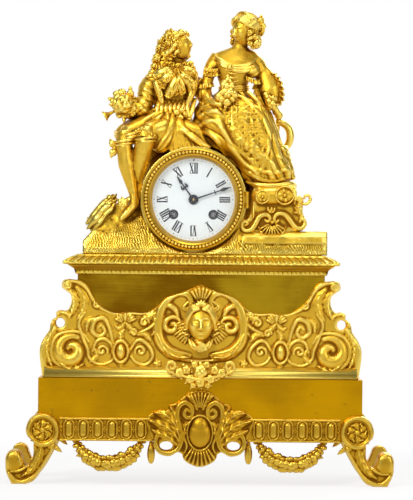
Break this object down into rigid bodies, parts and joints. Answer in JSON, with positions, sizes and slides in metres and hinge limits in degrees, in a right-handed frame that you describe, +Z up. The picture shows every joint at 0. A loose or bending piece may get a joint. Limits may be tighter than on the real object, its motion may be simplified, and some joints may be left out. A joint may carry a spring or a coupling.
{
  "type": "figural mantel clock",
  "caption": "Gilt-bronze mantel clock with a courting couple seated over a round enamel dial on a scroll-mounted plinth; hinged bezel, wound spring movement, pendulum and bell.",
  "frame": {"origin": "on the floor under the middle of the four feet", "axes": "+X to the clock's right as seen from the front, -Y out of the dial towards the viewer, +Z up"},
  "size_m": [0.3878, 0.143, 0.4775],
  "materials": {
    "gilt_bronze": "fire-gilt, burnished on the high spots and matte in the ground",
    "gilt_panel": "satin gilt sheet, slightly olive",
    "movement_brass": "polished",
    "polished_steel": "polished",
    "blued_steel": "heat-blued",
    "white_enamel": "gloss vitreous enamel",
    "clear_glass": "polished",
    "bell_bronze": "turned"
  },
  "bodies": {
    "case": {"front_feet": "gilt_bronze", "rear_feet": "gilt_bronze", "lower_plinth": "gilt_panel", "apron_band": "gilt_bronze", "apron_cartouche": "gilt_bronze", "garlands": "gilt_bronze", "pendant_drops": "gilt_bronze", "upper_body": "gilt_panel", "scroll_frieze": "gilt_bronze", "frieze_mask": "gilt_bronze", "flower_drop": "gilt_bronze", "cornice": "gilt_bronze", "tie_rods": "polished_steel", "rocky_ground": "gilt_bronze", "scroll_bench": "gilt_bronze", "woman_figure": "gilt_bronze", "man_figure": "gilt_bronze", "movement_drum": "movement_brass", "dial_ring": "gilt_bronze", "rear_ring": "gilt_bronze", "hinge_pins": "polished_steel", "enamel_dial": "white_enamel", "front_plate": "movement_brass", "back_plate": "movement_brass", "pillars": "movement_brass", "bell": "bell_bronze", "bell_stand": "polished_steel", "suspension_cock": "movement_brass"},
    "bezel": {"bezel": "gilt_bronze", "bezel_glass": "clear_glass"},
    "back_door": {"back_door": "movement_brass"},
    "centre_arbor": {"centre_wheel": "movement_brass", "cannon_pinion": "polished_steel", "minute_hand": "blued_steel", "hand_nut": "movement_brass"},
    "hour_pipe": {"hour_wheel": "movement_brass", "hour_hand": "blued_steel"},
    "minute_wheel": {"minute_wheel": "movement_brass"},
    "going_barrel": {"going_barrel": "movement_brass", "going_mainspring": "polished_steel"},
    "going_arbor": {"going_arbor": "polished_steel"},
    "going_click": {"going_click": "polished_steel"},
    "going_second": {"going_second_wheel": "movement_brass"},
    "third_wheel": {"third_wheel": "movement_brass"},
    "escape_wheel": {"escape_wheel": "movement_brass"},
    "pallets": {"pallets": "polished_steel"},
    "pendulum": {"pendulum_rod": "polished_steel", "pendulum_bob": "movement_brass", "rating_nut": "movement_brass", "suspension_spring": "polished_steel"},
    "strike_barrel": {"strike_barrel": "movement_brass", "strike_mainspring": "polished_steel"},
    "strike_arbor": {"strike_arbor": "polished_steel"},
    "strike_click": {"strike_click": "polished_steel"},
    "strike_second": {"strike_second_wheel": "movement_brass"},
    "pin_wheel": {"pin_wheel": "movement_brass"},
    "locking_wheel": {"locking_wheel": "movement_brass"},
    "fly": {"fly": "polished_steel"},
    "hammer": {"hammer": "polished_steel"},
    "regulator": {"regulator_arbor": "polished_steel"}
  },
  "joints": [
    {"name": "centre_turn", "type": "hinge", "parent": "case", "child": "centre_arbor", "pos_m": [-0.0085, 0, 0.285], "axis": [0, -1, 0], "continuous": true},
    {"name": "hour_turn", "type": "hinge", "parent": "case", "child": "hour_pipe", "pos_m": [-0.0085, 0, 0.285], "axis": [0, -1, 0], "continuous": true},
    {"name": "minute_wheel_turn", "type": "hinge", "parent": "case", "child": "minute_wheel", "pos_m": [-0.0085, 0, 0.273], "axis": [0, -1, 0], "continuous": true},
    {"name": "going_second_turn", "type": "hinge", "parent": "case", "child": "going_second", "pos_m": [0.00718, 0, 0.28905], "axis": [0, -1, 0], "continuous": true},
    {"name": "going_barrel_turn", "type": "hinge", "parent": "case", "child": "going_barrel", "pos_m": [0.0115, 0, 0.27], "axis": [0, -1, 0], "continuous": true},
    {"name": "third_turn", "type": "hinge", "parent": "case", "child": "third_wheel", "pos_m": [-0.0085, 0, 0.29865], "axis": [0, -1, 0], "continuous": true},
    {"name": "escape_turn", "type": "hinge", "parent": "case", "child": "escape_wheel", "pos_m": [-0.0085, 0, 0.31094], "axis": [0, -1, 0], "continuous": true},
    {"name": "pin_wheel_turn", "type": "hinge", "parent": "case", "child": "pin_wheel", "pos_m": [-0.02973, 0, 0.30428], "axis": [0, -1, 0], "continuous": true},
    {"name": "strike_second_turn", "type": "hinge", "parent": "case", "child": "strike_second", "pos_m": [-0.02418, 0, 0.28905], "axis": [0, -1, 0], "continuous": true},
    {"name": "strike_barrel_turn", "type": "hinge", "parent": "case", "child": "strike_barrel", "pos_m": [-0.0285, 0, 0.27], "axis": [0, -1, 0], "continuous": true},
    {"name": "locking_turn", "type": "hinge", "parent": "case", "child": "locking_wheel", "pos_m": [-0.0238, 0, 0.31454], "axis": [0, -1, 0], "continuous": true},
    {"name": "fly_turn", "type": "hinge", "parent": "case", "child": "fly", "pos_m": [-0.01713, 0, 0.32014], "axis": [0, -1, 0], "continuous": true},
    {"name": "pendulum_swing", "type": "hinge", "parent": "case", "child": "pendulum", "pos_m": [-0.0085, 0.024, 0.32133], "axis": [0, -1, 0], "range_deg": [-4, 4]},
    {"name": "pallet_rock", "type": "hinge", "parent": "case", "child": "pallets", "pos_m": [-0.0085, 0, 0.32133], "axis": [0, -1, 0], "range_deg": [-4, 4]},
    {"name": "bezel_open", "type": "hinge", "parent": "case", "child": "bezel", "pos_m": [0.0449, -0.0424, 0.285], "axis": [0, 0, 1], "range_deg": [0, 100]},
    {"name": "back_door_open", "type": "hinge", "parent": "case", "child": "back_door", "pos_m": [0.0429, 0.0542, 0.285], "axis": [0, 0, -1], "range_deg": [0, 100]},
    {"name": "going_wind", "type": "hinge", "parent": "case", "child": "going_arbor", "pos_m": [0.0115, 0, 0.27], "axis": [0, -1, 0], "continuous": true},
    {"name": "strike_wind", "type": "hinge", "parent": "case", "child": "strike_arbor", "pos_m": [-0.0285, 0, 0.27], "axis": [0, -1, 0], "continuous": true},
    {"name": "going_click_lift", "type": "hinge", "parent": "case", "child": "going_click", "pos_m": [0.01725, -0.028, 0.27996], "axis": [0, -1, 0], "range_deg": [0, 12], "stiffness_Nm_per_rad": 0.005},
    {"name": "strike_click_lift", "type": "hinge", "parent": "case", "child": "strike_click", "pos_m": [-0.03425, -0.028, 0.27996], "axis": [0, 1, 0], "range_deg": [0, 12], "stiffness_Nm_per_rad": 0.005},
    {"name": "hammer_swing", "type": "hinge", "parent": "case", "child": "hammer", "pos_m": [-0.042, 0, 0.293], "axis": [0, -1, 0], "range_deg": [-12, 9], "stiffness_Nm_per_rad": 0.01},
    {"name": "regulator_turn", "type": "hinge", "parent": "case", "child": "regulator", "pos_m": [-0.0085, 0, 0.3245], "axis": [0, -1, 0], "continuous": true}
  ],
  "couplings": [
    {"joint": "hour_turn", "follows": "centre_turn", "ratio": 0.083333},
    {"joint": "minute_wheel_turn", "follows": "centre_turn", "ratio": -0.33333},
    {"joint": "going_second_turn", "follows": "centre_turn", "ratio": -0.125},
    {"joint": "going_barrel_turn", "follows": "centre_turn", "ratio": 0.017857},
    {"joint": "third_turn", "follows": "centre_turn", "ratio": -12},
    {"joint": "escape_turn", "follows": "centre_turn", "ratio": 144},
    {"joint": "strike_second_turn", "follows": "pin_wheel_turn", "ratio": -0.125},
    {"joint": "strike_barrel_turn", "follows": "pin_wheel_turn", "ratio": 0.017857},
    {"joint": "locking_turn", "follows": "pin_wheel_turn", "ratio": -10.286},
    {"joint": "fly_turn", "follows": "pin_wheel_turn", "ratio": 88.163},
    {"joint": "pallet_rock", "follows": "pendulum_swing", "ratio": 1}
  ]
}
